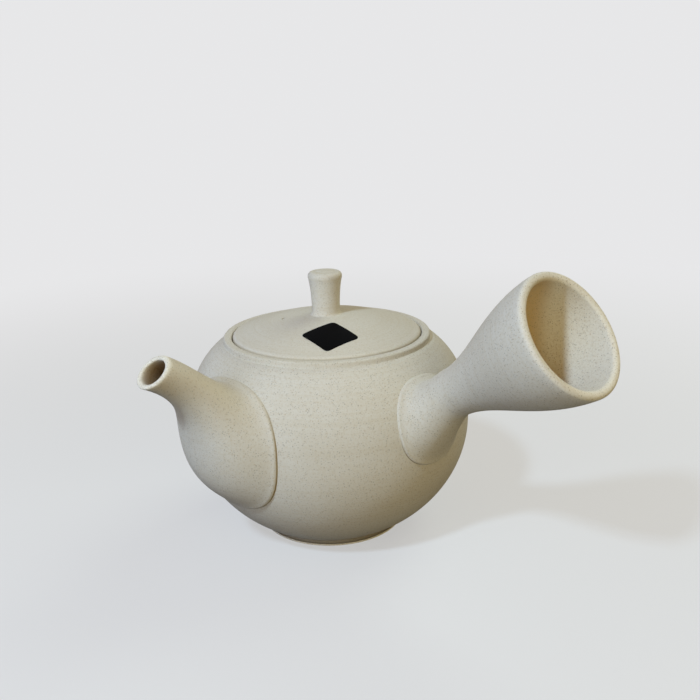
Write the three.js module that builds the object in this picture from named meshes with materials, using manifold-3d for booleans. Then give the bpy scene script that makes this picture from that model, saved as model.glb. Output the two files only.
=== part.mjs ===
// Kyusu: a Japanese side-handled teapot in unglazed stoneware, thrown and luted together.
// The pot stands on its foot at z = 0 with its axis on Z. The side handle runs along +X and
// the spout along -Y, a quarter turn apart. All lengths are millimetres, angles are degrees.

import * as THREE from 'three';
import { mergeVertices } from 'three/addons/utils/BufferGeometryUtils.js';
import Module from 'manifold-3d';

const manifold = await Module();
manifold.setup();

// Driving dimensions of the pot
const bellyRadius = 55;
const bellyHeight = 44;
const underReach = 4.5; // how far the curve below the belly would pass the foot, which cuts it off
const shoulderDepth = 41.1; // how far the curve above the belly would reach, past the collar
const shoulderFullness = 2.5; // 2 is an ellipse, more is squarer
const wall = 3;
const floorThickness = 4;
const footRadius = 28.4;
const footLip = 0.9;
const footCove = 1;

// Driving dimensions of the collar and of the seat for the lid
const collarRadius = 40.1;
const collarRise = 2.3;
const collarLedge = 0.8;
const collarRound = 0.8;
const seatDepth = 3.9;
const seatWidth = 3.6;
const seatThickness = 2.6;

// Driving dimensions of the lid
const lidRadius = 36.5;
const lidClearance = 0.35;
const lidThickness = 3;
const lidCrown = 7.3; // height of the dome's top above the collar
const lidDomeRadius = 99;
const lidEdgeRound = 1.8;
const flangeClearance = 0.5;
const flangeDepth = 5.2;
const flangeWall = 2.6;
const steamHoleRadius = 0.9;
const steamHoleReach = 16.5;
const steamHoleAngle = 230;

// Driving dimensions of the knob
const knobHeight = 16.9;
const knobFootRadius = 7.1;
const knobFillet = 1.9;
const knobStemRadius = 5.4;
const knobStemSwell = 0.4; // how much wider the stem is where the head begins to flare
const knobHeadRadius = 6.55;
const knobHeadHeight = 2.6;
const knobHeadRound = 1.6;
const knobCrown = 0.4;

// Driving dimensions of the label
const labelSide = 15;
const labelCorner = 1.6;
const labelReach = 22.4;
const labelAngle = -40;
const labelTurn = -5.5;
const labelThickness = 0.2;

// Driving dimensions of the spout, in the upright plane through its middle.
// A reach is measured from the pot's axis, and a rise or drop from the height of its belly.
const spoutRootRise = 27.4;
const spoutRootDrop = 21.8;
const spoutRootHalfWidth = 26.1;
const spoutMouthReach = 79.3;
const spoutMouthRise = 37.5;
const spoutMouthRadius = 6.8;
const spoutMouthTilt = 48.5;
const spoutMouthRound = 0.8;
const spoutWall = 1.9;
const spoutRootWall = 3.4;
const spoutThroat = [[57, 22], [62, 36]]; // reach and rise of the upper outline's pull points
const spoutBelly = [[80.5, -12], [54.5, 16.6]]; // and of the lower outline's
const spoutFlanks = [19, 8]; // pull values of the half width

// Driving dimensions of the handle, measured as the spout's are
const handleRootRise = 27.5;
const handleRootDrop = 5;
const handleRootHalfWidth = 16;
const handleTilt = 33.3;
const handleAxisReach = 50;
const handleAxisRise = 14.7;
const handleNeckPlace = 18; // along the axis from handleAxisReach
const handleNeckRadius = 8.8;
const handleMouthPlace = 70.2;
const handleMouthRadius = 21.4;
const handleMouthCant = 2;
const handleMouthRound = 1.3;
const handleWall = 2.8;
const handleRootPull = 6.5; // how far the root stands out before it turns up the axis
const handleRootDip = 2.5; // how far its upper outline sinks there
const handleNeckPull = 7;
const handleFlare = [[0.3, 0.05], [0.6, 1]]; // pull points of the bell, as shares of its length and rise

// Driving dimensions of the strainer and of the passage behind it
const passageRise = 2; // above the belly
const passageRadius = 12;
const strainerRadius = 20;
const strainerBaseRadius = 17;
const strainerWall = 2;
const strainerHoleRadius = 0.9;
const strainerHolePitch = 3.7;
const strainerRings = 4;

// Shared fits
const jointGap = 0.3; // between luted pieces, and between the lid and its seat
const rootEdge = 1; // radius of the rounded edge of a luted root, which stands proud by it

// Facets
const potSegments = 42;
const lidSegments = 42;
const knobSegments = 24;
const spoutSides = 24;
const handleSides = 28;
const boreSides = 20;
const strainerSides = 18;
const strainerHoleSides = 5;
const strainerHolesPerRing = 6; // the first ring has this many, and each further ring as many more

const degrees = THREE.MathUtils.degToRad;
const point = (x, y) => new THREE.Vector2(x, y);
const { lerp } = THREE.MathUtils;

const underDepth = bellyHeight + underReach;
const passageHeight = bellyHeight + passageRise;

// A point of the upright plane of a horn
const aboveBelly = (reach, rise) => point(reach, bellyHeight + rise);

// Values of a function of 0 to 1 at equal steps, both ends included
const along = (steps, at) => Array.from({ length: steps + 1 }, (_, i) => at(i / steps));

// Radius of the pot at a height. An inset above zero gives a surface inside the pot's own.
function potRadius(height, inset = 0) {
  const above = height > bellyHeight;
  const depth = (above ? shoulderDepth : underDepth) - inset;
  const power = above ? shoulderFullness : 2;
  const share = Math.min(1, Math.abs(height - bellyHeight) / depth);
  return (bellyRadius - inset) * (1 - share ** power) ** (1 / power);
}

// Height at which the pot narrows to a radius, above or below the belly
function potHeight(radius, above, inset = 0) {
  const depth = (above ? shoulderDepth : underDepth) - inset;
  const power = above ? shoulderFullness : 2;
  const share = (1 - (radius / (bellyRadius - inset)) ** power) ** (1 / power);
  return bellyHeight + (above ? depth : -depth) * share;
}

// Points of the pot's curve between two heights, from the first to the last
function potCurve(from, to, steps, inset = 0) {
  const depthAt = (height) => (height > bellyHeight ? shoulderDepth : underDepth) - inset;
  const angleAt = (height) => Math.asin((height - bellyHeight) / depthAt(height));
  return along(steps, (t) => {
    const angle = lerp(angleAt(from), angleAt(to), t);
    const depth = (angle > 0 ? shoulderDepth : underDepth) - inset;
    const height = bellyHeight + depth * Math.sin(angle);
    return point(potRadius(height, inset), height);
  });
}

// Points of a rounded corner: an arc from one heading to the next
function corner(centreX, centreY, radius, fromAngle, toAngle, steps = 3) {
  return along(steps, (t) => {
    const angle = degrees(lerp(fromAngle, toAngle, t));
    return point(centreX + radius * Math.cos(angle), centreY + radius * Math.sin(angle));
  });
}

// A closed solid from a geometry, for cutting and joining
function solid(geometry) {
  const bare = geometry.clone();
  bare.deleteAttribute('normal');
  bare.deleteAttribute('uv');
  const merged = mergeVertices(bare, 1e-4);
  return new manifold.Manifold(new manifold.Mesh({
    numProp: 3,
    vertProperties: new Float32Array(merged.attributes.position.array),
    triVerts: new Uint32Array(merged.index.array),
  }));
}

// The geometry of a solid
function geometryOf(shape) {
  const mesh = shape.getMesh();
  const geometry = new THREE.BufferGeometry();
  geometry.setAttribute('position', new THREE.BufferAttribute(mesh.vertProperties, 3));
  geometry.setIndex(new THREE.BufferAttribute(mesh.triVerts, 1));
  geometry.computeVertexNormals();
  return geometry;
}

// A turned solid about Z from a profile of radius and height, drawn from the foot upwards
function turned(profile, segments) {
  return solid(new THREE.LatheGeometry(profile, segments).rotateX(Math.PI / 2));
}

// A round bar along Y, for cutting a hole
function bar(radius, length, sides) {
  return new THREE.CylinderGeometry(radius, radius, length, sides);
}

// Heights and radii that the collar, the seat and the lid share
const shoulderTop = potHeight(collarRadius + collarLedge, true);
const collarTop = shoulderTop + collarRise;
const recessRadius = lidRadius + lidClearance;
const seatTop = collarTop - seatDepth;
const underSeat = seatTop - seatThickness;
const openingRadius = recessRadius - seatWidth;
const lidRest = seatTop + jointGap;
const lidTop = collarTop + lidCrown;

// Pot: a round shell with a foot lip, a stepped collar and a seat for the lid
function potBody() {
  const coveRadius = footRadius - footCove;
  const coveTop = potHeight(coveRadius, false);
  const cove = new THREE.QuadraticBezierCurve(
    point(footRadius, footLip), point(coveRadius, footLip), point(coveRadius, coveTop),
  );
  const profile = [
    point(0, 0),
    point(footRadius - footLip / 2, 0),
    point(footRadius, footLip / 2),
    ...cove.getPoints(2).slice(0, -1),
    ...potCurve(coveTop, bellyHeight, 9),
    ...potCurve(bellyHeight, shoulderTop, 8).slice(1),
    point(collarRadius, shoulderTop),
    ...corner(collarRadius - collarRound, collarTop - collarRound, collarRound, 0, 90),
    ...corner(recessRadius + collarRound, collarTop - collarRound, collarRound, 90, 180),
    point(recessRadius, seatTop),
    point(openingRadius, seatTop),
    point(openingRadius, underSeat),
    ...potCurve(underSeat, bellyHeight, 5, wall),
    ...potCurve(bellyHeight, floorThickness, 7, wall).slice(1),
    point(0, floorThickness),
  ];
  return turned(profile, potSegments);
}

// What fills the pot's shape out to a distance from its outer surface
function potFilled(inset) {
  const low = inset > 0 ? floorThickness : 0;
  const high = inset > 0 ? underSeat : shoulderTop;
  const profile = [
    point(0, low),
    ...potCurve(low, bellyHeight, 9, inset),
    ...potCurve(bellyHeight, high, 8, inset).slice(1),
    point(0, high),
  ];
  return turned(profile, potSegments);
}

// One cross-section of a horn: an ellipse between two points of the upright plane.
// Cling draws it onto the pot's surface, raised by the lift.
function section(top, bottom, halfWidth, cling = 0) {
  return { top, bottom, halfWidth, cling, lift: rootEdge };
}

// The same section with its outline moved outwards, and moved on towards the mouth
function shifted(from, outwards, onwards = 0) {
  const up = from.top.clone().sub(from.bottom).normalize();
  const move = point(up.y, -up.x).multiplyScalar(onwards);
  return {
    ...from,
    top: from.top.clone().addScaledVector(up, outwards).add(move),
    bottom: from.bottom.clone().addScaledVector(up, -outwards).add(move),
    halfWidth: from.halfWidth + outwards,
  };
}

// A horn along +X: a closed skin through its cross-sections, from the root to the mouth
function horn(sections, sides) {
  const last = sections.length - 1;
  const tube = new THREE.CylinderGeometry(1, 1, 1, sides, last);
  const place = tube.attributes.position;
  const p = new THREE.Vector3();
  for (let i = 0; i < place.count; i += 1) {
    p.fromBufferAttribute(place, i);
    const { top, bottom, halfWidth, cling, lift } = sections[Math.round((p.y + 0.5) * last)];
    const upright = (1 + p.z) / 2;
    const height = lerp(bottom.y, top.y, upright);
    const side = -p.x * halfWidth;
    const flat = lerp(bottom.x, top.x, upright);
    const clung = Math.sqrt(Math.max(0, (potRadius(height) + lift) ** 2 - side ** 2));
    place.setXYZ(i, lerp(flat, clung, cling), side, height);
  }
  return solid(tube);
}

// Sections of a luted root: a stub inside the pot's wall, then the quarter round of its edge
function rootSections(root, steps = 2) {
  const edge = along(steps, (t) => {
    const angle = (Math.PI / 2) * t;
    return { ...shifted(root, rootEdge * (Math.cos(angle) - 1)), lift: rootEdge * Math.sin(angle) };
  });
  return [{ ...root, lift: -wall / 2 }, ...edge];
}

// Sections of a rounded rim. The side is 1 for the outer skin and -1 for the bore.
function rimSections(mouth, round, side, steps = 3) {
  return along(steps, (t) => {
    const angle = (Math.PI / 2) * t;
    return shifted(mouth, side * round * (Math.cos(angle) - 1), round * (Math.sin(angle) - 1));
  });
}

// A luted horn: its skin, less its bore, less the pot that it is seated on.
// The bore is the skin's own form drawn in by the wall, which may thicken towards the root.
function lutedHorn(body, sides, round, rootWall, mouthWall) {
  const last = body.length - 1;
  const skin = horn([
    ...rootSections(body[0]),
    ...body.slice(1, last),
    ...rimSections(body[last], round, 1),
  ], sides);
  const bore = body.map((s, i) => shifted(s, -lerp(rootWall, mouthWall, i / last)));
  const cutter = horn([
    { ...bore[0], lift: -2 * wall },
    ...bore.slice(0, last),
    ...rimSections(bore[last], round, -1),
    shifted(bore[last], round, wall),
  ], sides);
  return skin.subtract(cutter).subtract(potFilled(-jointGap));
}

// Where the outline of a horn leaves the pot, at a rise above the belly
const rootPoint = (rise) => aboveBelly(potRadius(bellyHeight + rise) + rootEdge, rise);

// A half width that changes along a horn as a curve does
const widthCurve = (...widths) => new THREE.CubicBezierCurve(...widths.map((w) => point(0, w)));

// How strongly a section still clings to the pot, along the root part of a horn
const clingAt = (t) => (1 - t) ** 3;

// Cross-sections of the spout, which swells from the belly and narrows up to a tilted mouth
function spoutSections(steps = 11) {
  const tilt = degrees(spoutMouthTilt);
  const rise = point(-Math.sin(tilt), Math.cos(tilt)).multiplyScalar(spoutMouthRadius);
  const mouth = aboveBelly(spoutMouthReach, spoutMouthRise);
  const [throatLow, throatHigh] = spoutThroat.map((pull) => aboveBelly(...pull));
  const [bellyLow, bellyHigh] = spoutBelly.map((pull) => aboveBelly(...pull));
  const upper = new THREE.CubicBezierCurve(
    rootPoint(spoutRootRise), throatLow, throatHigh, mouth.clone().add(rise),
  );
  const lower = new THREE.CubicBezierCurve(
    rootPoint(-spoutRootDrop), bellyLow, bellyHigh, mouth.clone().sub(rise),
  );
  const width = widthCurve(spoutRootHalfWidth, ...spoutFlanks, spoutMouthRadius);
  return along(steps, (t) => section(
    upper.getPoint(t), lower.getPoint(t), width.getPoint(t).y, clingAt(t),
  ));
}

// Cross-sections of the handle: a flared root, a narrow neck and an open bell
function handleSections(rootSteps = 7, bellSteps = 8) {
  const tilt = degrees(handleTilt);
  const axis = point(Math.cos(tilt), Math.sin(tilt));
  const across = point(-axis.y, axis.x);
  const start = aboveBelly(handleAxisReach, handleAxisRise);
  const edgeAt = (place, radius) => start.clone()
    .addScaledVector(axis, place)
    .addScaledVector(across, radius);
  const neckPull = handleNeckPlace - handleNeckPull;
  const rootTop = rootPoint(handleRootRise);
  const upper = new THREE.CubicBezierCurve(
    rootTop,
    rootTop.clone().add(point(handleRootPull, -handleRootDip)),
    edgeAt(neckPull, handleNeckRadius),
    edgeAt(handleNeckPlace, handleNeckRadius),
  );
  const rootBottom = rootPoint(-handleRootDrop);
  const lower = new THREE.CubicBezierCurve(
    rootBottom,
    rootBottom.clone().add(point(handleRootPull, handleRootPull)),
    edgeAt(neckPull, -handleNeckRadius),
    edgeAt(handleNeckPlace, -handleNeckRadius),
  );
  const width = widthCurve(
    handleRootHalfWidth, (handleRootHalfWidth + handleNeckRadius) / 2, handleNeckRadius, handleNeckRadius,
  );
  const root = along(rootSteps, (t) => section(
    upper.getPoint(t), lower.getPoint(t), width.getPoint(t).y, clingAt(t),
  ));
  const length = handleMouthPlace - handleNeckPlace;
  const rise = handleMouthRadius - handleNeckRadius;
  const flareAt = (on, up) => point(handleNeckPlace + length * on, handleNeckRadius + rise * up);
  const flare = new THREE.CubicBezierCurve(
    flareAt(0, 0), flareAt(...handleFlare[0]), flareAt(...handleFlare[1]), flareAt(1, 1),
  );
  const bell = along(bellSteps, (t) => {
    const { x: place, y: radius } = flare.getPoint(t);
    const cant = radius * Math.tan(degrees(handleMouthCant)) * t;
    return section(edgeAt(place - cant, radius), edgeAt(place + cant, -radius), radius);
  });
  return [...root, ...bell.slice(1)];
}

// Height of the lid's dome at a radius, raised by an amount
function domeHeight(radius, raise = 0) {
  return lidTop + raise - lidDomeRadius + Math.sqrt(lidDomeRadius ** 2 - radius ** 2);
}

// Points of the dome between two radii
function domeCurve(from, to, steps, raise = 0) {
  return along(steps, (t) => {
    const radius = lerp(from, to, t);
    return point(radius, domeHeight(radius, raise));
  });
}

// Lid: a low dome with a rounded edge, a locating flange below and a steam hole
function lid() {
  const flangeRadius = openingRadius - flangeClearance;
  const flangeBore = flangeRadius - flangeWall;
  const flangeFoot = lidRest - flangeDepth;
  const domeEdge = lidRadius - lidEdgeRound;
  const edgeHeight = domeHeight(domeEdge);
  const profile = [
    ...domeCurve(0, flangeBore, 6, -lidThickness),
    point(flangeBore, flangeFoot),
    point(flangeRadius, flangeFoot),
    point(flangeRadius, lidRest),
    point(lidRadius, lidRest),
    ...corner(domeEdge, edgeHeight - lidEdgeRound, lidEdgeRound, 0, 90, 4).slice(0, -1),
    ...domeCurve(domeEdge, 0, 8),
  ];
  const angle = degrees(steamHoleAngle);
  const hole = bar(steamHoleRadius, 2 * (lidThickness + lidCrown), boreSides)
    .rotateX(Math.PI / 2)
    .translate(steamHoleReach * Math.cos(angle), steamHoleReach * Math.sin(angle), lidTop);
  return turned(profile, lidSegments).subtract(solid(hole));
}

// Knob: a spool with a filleted foot, a waisted stem and a rounded head
function lidKnob() {
  const foot = domeHeight(knobFootRadius, jointGap);
  const filletTop = foot + knobFillet;
  const top = lidTop + knobHeight;
  const flank = top - knobHeadHeight;
  const neck = flank - knobHeadHeight;
  const fillet = new THREE.QuadraticBezierCurve(
    point(knobFootRadius, foot), point(knobStemRadius, foot), point(knobStemRadius, filletTop),
  );
  const stem = new THREE.CubicBezierCurve(
    point(knobStemRadius, filletTop),
    point(knobStemRadius, (filletTop + neck) / 2),
    point(knobStemRadius + knobStemSwell, neck),
    point(knobHeadRadius, flank),
  );
  const crownRadius = knobHeadRadius - knobHeadRound;
  const crownAt = (radius) => top - knobCrown * (radius / crownRadius) ** 2;
  const profile = [
    ...domeCurve(0, knobFootRadius, 2, jointGap),
    ...fillet.getPoints(4).slice(1, -1),
    ...stem.getPoints(8),
    ...corner(crownRadius, top - knobCrown - knobHeadRound, knobHeadRound, 0, 90, 4),
    ...along(2, (t) => point(crownRadius * (1 - t), crownAt(crownRadius * (1 - t)))).slice(1),
  ];
  return turned(profile, knobSegments);
}

// Label: a plain rounded square of thin paper that lies on the dome
function label() {
  const straight = labelSide / 2 - labelCorner;
  const outline = new THREE.Shape();
  [[1, 1, 0], [-1, 1, 90], [-1, -1, 180], [1, -1, 270]].forEach(([x, y, from]) => {
    outline.absarc(x * straight, y * straight, labelCorner, degrees(from), degrees(from + 90));
  });
  const angle = degrees(labelAngle);
  const prism = new THREE.ExtrudeGeometry(outline, {
    depth: 4 * lidCrown, bevelEnabled: false, curveSegments: 5,
  })
    .rotateZ(degrees(labelTurn))
    .translate(labelReach * Math.cos(angle), labelReach * Math.sin(angle), lidTop - 2 * lidCrown);
  const edge = labelReach + labelSide * Math.SQRT1_2;
  const sheet = [
    ...domeCurve(0, edge, 4, jointGap),
    ...domeCurve(edge, 0, 4, jointGap + labelThickness),
  ];
  return turned(sheet, lidSegments).intersect(solid(prism));
}

// Strainer: a domed clay sieve luted over the passage inside the pot, with rings of holes
function strainer() {
  const wallRadius = potRadius(passageHeight, wall);
  const baseReach = Math.sqrt(wallRadius ** 2 - strainerBaseRadius ** 2);
  const centre = -baseReach - Math.sqrt(strainerRadius ** 2 - strainerBaseRadius ** 2);
  const ball = (radius) => solid(
    new THREE.SphereGeometry(radius, strainerSides, strainerSides / 2).translate(0, centre, passageHeight),
  );
  let dome = ball(strainerRadius)
    .subtract(ball(strainerRadius - strainerWall))
    .intersect(potFilled(wall + jointGap));
  const ringTurn = strainerHolePitch / strainerRadius;
  for (let ring = 0; ring <= strainerRings; ring += 1) {
    const count = Math.max(1, strainerHolesPerRing * ring);
    for (let i = 0; i < count; i += 1) {
      const hole = bar(strainerHoleRadius, strainerRadius, strainerHoleSides)
        .translate(0, strainerRadius, 0)
        .rotateX(ring * ringTurn)
        .rotateY((2 * Math.PI * i) / count)
        .translate(0, centre, passageHeight);
      dome = dome.subtract(solid(hole));
    }
  }
  return dome;
}

// The passage through the pot's wall from the strainer to the spout
function passage() {
  return solid(bar(passageRadius, 2 * passageRadius, boreSides)
    .translate(0, -potRadius(passageHeight), passageHeight));
}

const clay = () => new THREE.MeshStandardMaterial({ color: '#d6d0bf', roughness: 0.92, metalness: 0 });
const paper = () => new THREE.MeshStandardMaterial({ color: '#0c0c0e', roughness: 0.35, metalness: 0 });

function piece(name, shape, material) {
  const mesh = new THREE.Mesh(geometryOf(shape), material);
  mesh.name = name;
  return mesh;
}

const spout = lutedHorn(spoutSections(), spoutSides, spoutMouthRound, spoutRootWall, spoutWall)
  .rotate([0, 0, -90]);
const sideHandle = lutedHorn(handleSections(), handleSides, handleMouthRound, handleWall, handleWall);

const kyusu = new THREE.Group();
kyusu.add(
  piece('pot_body', potBody().subtract(passage()), clay()),
  piece('spout', spout, clay()),
  piece('side_handle', sideHandle, clay()),
  piece('strainer', strainer(), clay()),
  piece('lid', lid(), clay()),
  piece('lid_knob', lidKnob(), clay()),
  piece('label', label(), paper()),
);

export default kyusu;
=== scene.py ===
"""A side-handled stoneware teapot, modelled piece by piece round its packed frame."""

import math

import bpy
from bpy.props import FloatProperty, FloatVectorProperty, IntProperty, PointerProperty
from mathutils import Matrix, Vector
from mathutils.geometry import interpolate_bezier


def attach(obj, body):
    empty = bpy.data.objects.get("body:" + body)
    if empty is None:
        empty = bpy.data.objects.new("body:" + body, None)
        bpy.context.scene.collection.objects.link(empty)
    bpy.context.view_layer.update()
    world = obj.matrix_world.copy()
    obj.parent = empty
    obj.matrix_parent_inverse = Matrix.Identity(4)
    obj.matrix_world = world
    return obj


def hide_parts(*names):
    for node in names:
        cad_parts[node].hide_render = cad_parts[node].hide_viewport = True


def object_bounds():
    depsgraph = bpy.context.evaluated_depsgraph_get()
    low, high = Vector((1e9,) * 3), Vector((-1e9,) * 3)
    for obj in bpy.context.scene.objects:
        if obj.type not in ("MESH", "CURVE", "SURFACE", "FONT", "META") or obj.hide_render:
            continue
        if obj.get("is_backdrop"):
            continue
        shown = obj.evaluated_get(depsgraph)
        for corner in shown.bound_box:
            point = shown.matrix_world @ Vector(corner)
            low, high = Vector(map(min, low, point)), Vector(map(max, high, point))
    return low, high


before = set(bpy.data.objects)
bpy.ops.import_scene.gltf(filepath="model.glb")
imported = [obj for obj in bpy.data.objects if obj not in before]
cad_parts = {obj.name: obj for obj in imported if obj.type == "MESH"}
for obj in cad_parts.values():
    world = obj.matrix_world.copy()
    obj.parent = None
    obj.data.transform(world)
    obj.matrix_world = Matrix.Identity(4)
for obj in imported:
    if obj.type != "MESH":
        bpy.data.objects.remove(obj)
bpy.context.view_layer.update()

bl_info = {
    "name": "Side-handled teapot",
    "version": (1, 0, 0),
    "blender": (4, 5, 0),
    "location": "View3D > Sidebar > Teapot",
    "description": "Models a side-handled stoneware teapot with its strainer, lid and label",
    "category": "Object",
}

MM = 0.001
SMOOTH_ANGLE = math.radians(38)     # edges sharper than this stay crisp
WELD = 5e-7                         # points closer than this are one point
SLIVER = 4e-6                       # faces thinner than this are cleared after a cut
CURVE_STEPS = 8                     # points of a fine outline for each cross-section of a horn
FLAT_SPAN = (0.2, 0.98)             # shares of the flat underside between which rings lie
INNER_TURN = 0.6                    # share of the belly's radius where wall turns into floor
FLOOR_PULL = 0.82                   # how far that turn is drawn into its corner
FLOOR_FLAT = 0.3                    # share of the belly's radius that is flat inside
INNER_FORM_TOP = 0.75               # share of the shoulder up to which the strainer is fitted
SENSOR_WIDTH = 36                   # of the camera, in millimetres


# Settings

def length(name, millimetres, description):
    """A length that is given in millimetres and kept in metres."""
    return FloatProperty(
        name=name, description=description, default=millimetres * MM, unit="LENGTH", precision=5,
    )


def angle(name, degrees, description):
    """An angle that is given in degrees and kept in radians."""
    return FloatProperty(
        name=name, description=description, default=math.radians(degrees), subtype="ANGLE",
    )


def factor(name, value, description):
    """A plain number."""
    return FloatProperty(name=name, description=description, default=value, precision=4)


def count(name, value, description):
    """A number of steps, sides or copies."""
    return IntProperty(name=name, description=description, default=value, min=1)


def colour(name, value, description):
    """A linear colour."""
    return FloatVectorProperty(
        name=name, description=description, default=value, subtype="COLOR", size=3, min=0, max=1,
    )


def pull(name, along, up, description):
    """A pull point of an outline, in its upright plane."""
    return FloatVectorProperty(
        name=name, description=description, default=(along * MM, up * MM), size=2,
        subtype="COORDINATES", unit="LENGTH",
    )


class PotSettings(bpy.types.PropertyGroup):
    """Sizes of the pot's shell, its collar and the seat for the lid."""

    belly_radius: length("Belly radius", 55, "Radius of the pot at its widest")
    belly_height: length("Belly height", 44, "Height of the widest line above the foot")
    under_reach: length("Under reach", 4.5, "How far the lower curve would pass the foot")
    shoulder_depth: length("Shoulder depth", 41.1, "How far the upper curve would reach up")
    shoulder_fullness: factor("Shoulder fullness", 2.5, "2 is an ellipse, more is squarer")
    wall: length("Wall", 3, "Thickness of the shell")
    floor: length("Floor", 4, "Thickness of the floor")
    foot_radius: length("Foot radius", 28.4, "Radius of the foot's lip")
    foot_lip: length("Foot lip", 0.7, "Height of the foot's lip")
    foot_cove: length("Foot cove", 1.5, "Depth of the cove above the foot's lip")
    collar_radius: length("Collar radius", 40.1, "Outer radius of the collar")
    collar_rise: length("Collar rise", 2.3, "Height of the collar above the shoulder")
    collar_ledge: length("Collar ledge", 0.8, "Width of the ledge outside the collar")
    collar_round: length("Collar round", 0.8, "Radius of the collar's edges")
    groove: length("Groove", 0.35, "Radius of the soft corner at the collar's foot")
    seat_depth: length("Seat depth", 3.9, "Depth of the lid's seat below the collar")
    seat_width: length("Seat width", 3.6, "Width of the seat")
    seat_thickness: length("Seat thickness", 2.6, "Thickness of the seat")
    ripple: length("Ripple", 0.14, "Height of the throwing rings left inside")
    ripple_pitch: length("Ripple pitch", 4.6, "Distance between the throwing rings")
    steps: count("Steps", 192, "Sides of the turned shell")


class LidSettings(bpy.types.PropertyGroup):
    """Sizes of the lid."""

    radius: length("Radius", 36.5, "Radius of the lid")
    clearance: length("Clearance", 0.35, "Gap between the lid and the collar")
    rest_gap: length("Rest gap", 0.3, "Gap between the lid and its seat")
    thickness: length("Thickness", 3, "Thickness of the dome")
    crown: length("Crown", 7.3, "Height of the dome's top above the collar")
    dome_radius: length("Dome radius", 99, "Radius of the dome's curve")
    edge_round: length("Edge round", 1.8, "Radius of the lid's upper edge")
    flange_clearance: length("Flange clearance", 0.5, "Gap between flange and opening")
    flange_depth: length("Flange depth", 5.2, "Depth of the flange below the lid's rest")
    flange_wall: length("Flange wall", 2.6, "Thickness of the flange")
    flange_round: length("Flange round", 0.7, "Radius of the flange's edges")
    hole_radius: length("Hole radius", 0.9, "Radius of the steam hole")
    hole_reach: length("Hole reach", 16.5, "Distance of the steam hole from the axis")
    hole_angle: angle("Hole angle", 230, "Direction of the steam hole, from the handle's")
    hole_sides: count("Hole sides", 32, "Sides of the steam hole")
    # The line is painted shade of the gap between the lid and the collar, in the colour of slip.
    line: length("Line", 0.35, "Width of the thin line of slip at the lid's edge")
    gap_shade_full: length("Line full", 0.05, "Distance from the edge at which it shows most")
    line_share: factor("Line share", 0.38, "How much of that line shows")
    grain: factor("Grain", 0.42, "How much the grain shows on the lid")
    steps: count("Steps", 192, "Sides of the turned lid")


class KnobSettings(bpy.types.PropertyGroup):
    """Sizes of the knob."""

    height: length("Height", 16.9, "Height above the dome's top")
    foot_radius: length("Foot radius", 6.7, "Radius of the foot's fillet on the lid")
    fillet: length("Fillet", 1.5, "Height of the foot's fillet")
    stem_radius: length("Stem radius", 5.4, "Radius of the waist")
    stem_swell: length("Stem swell", 0.4, "How much wider the stem is below the head")
    head_radius: length("Head radius", 6.55, "Radius of the head")
    head_height: length("Head height", 2.6, "Height of the head's flank below the top")
    head_round: length("Head round", 1.6, "Radius of the head's edge")
    crown: length("Crown", 0.4, "Rise of the head's top")
    lip: length("Lip", 0.16, "Depth of the soft ring in the head's top")
    lip_width: length("Lip width", 1.1, "Half width of that ring")
    stem_steps: count("Stem steps", 32, "Steps of the stem's outline")
    sink: length("Sink", 0.2, "How deep the foot is luted into the lid")
    grain: factor("Grain", 0.7, "How much the grain shows on the knob")
    steps: count("Steps", 96, "Sides of the turned knob")


class LabelSettings(bpy.types.PropertyGroup):
    """Sizes and finish of the plain paper label."""

    side: length("Side", 15.3, "Length of a side")
    corner: length("Corner", 1.6, "Radius of the corners")
    reach: length("Reach", 22.4, "Distance of the middle from the axis")
    direction: angle("Direction", -40, "Direction of the middle, from the handle's")
    turn: angle("Turn", -5.5, "Turn of the label about its middle")
    thickness: length("Thickness", 0.2, "Thickness of the paper and its paste")
    paste: length("Paste", 0.02, "Height of the paper's underside above the dome")
    steps: count("Steps", 240, "Sides of the curved sheet that the label is cut from")
    face: colour("Face", (0.0025, 0.0025, 0.003), "Colour of the plain face")
    haze: colour("Haze", (0.012, 0.012, 0.013), "Colour of its faint haze")
    haze_share: factor("Haze share", 0.1, "How much of the haze shows")
    roughness: factor("Roughness", 0.5, "Roughness of the plain face")
    relief: length("Relief", 0.02, "Height of the paper's tooth")
    specular: factor("Specular", 0.01, "Strength of the paper's sheen")


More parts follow.
